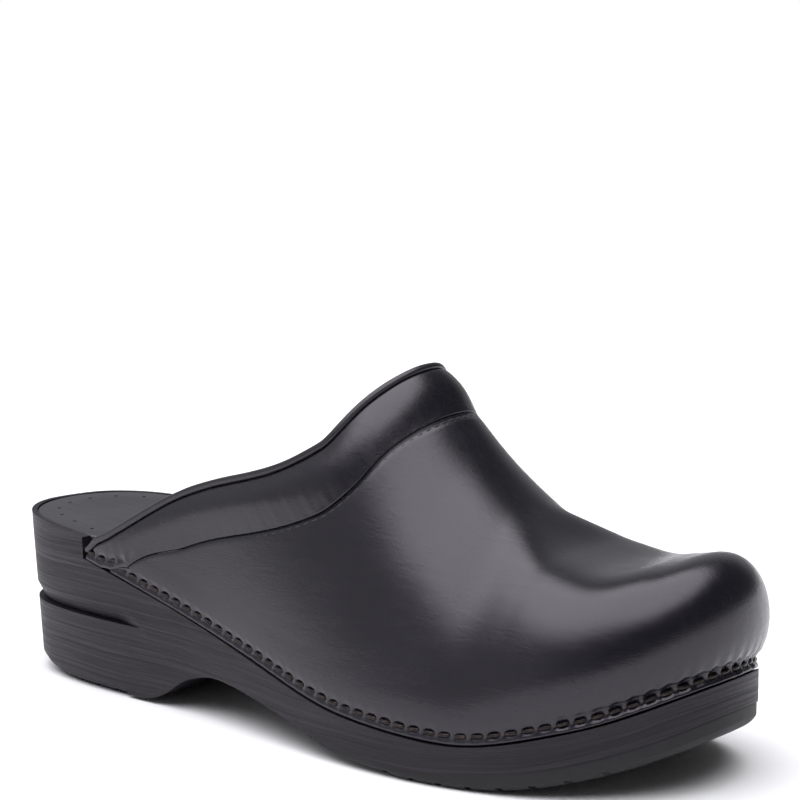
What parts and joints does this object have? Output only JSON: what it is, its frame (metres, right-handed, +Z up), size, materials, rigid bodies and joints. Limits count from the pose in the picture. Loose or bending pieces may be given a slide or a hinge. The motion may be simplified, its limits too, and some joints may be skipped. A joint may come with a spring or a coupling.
{
  "type": "open-back clog",
  "caption": "Open-backed slip-on clog for a right foot, with a stapled leather upper, padded instep collar, wood-grained wedge sole and rubber treads.",
  "frame": {"origin": "on the ground under the centre of the shoe's bounding box", "axes": "+X towards the toe, +Y towards the inner side of the right foot, +Z up from the ground"},
  "size_m": [0.2679, 0.0966, 0.1117],
  "materials": {
    "sole_wood": "black stain with the grain showing, satin",
    "tread_rubber": "matte, moulded",
    "sock_leather": "smooth black, satin",
    "upper_leather": "polished smooth black with a fine grain",
    "binding_leather": "rolled and polished black strip",
    "lining_leather": "plain matte lining leather",
    "padding_foam": "soft open foam, hidden between leather layers",
    "stiffener_sheet": "thermoformed sheet, hidden behind the toe",
    "seam_thread": "waxed black thread",
    "staple_wire": "dark lacquered steel wire"
  },
  "bodies": {
    "root": {"sole_body": "sole_wood", "forefoot_tread": "tread_rubber", "heel_tread": "tread_rubber", "footbed_cushion": "padding_foam", "sock_lining": "sock_leather", "vamp": "upper_leather", "toe_puff": "stiffener_sheet", "vamp_lining": "lining_leather", "instep_collar": "upper_leather", "collar_foam": "padding_foam", "collar_lining": "lining_leather", "topline_binding": "binding_leather", "seam_stitches": "seam_thread", "margin_staples": "staple_wire"}
  },
  "joints": []
}
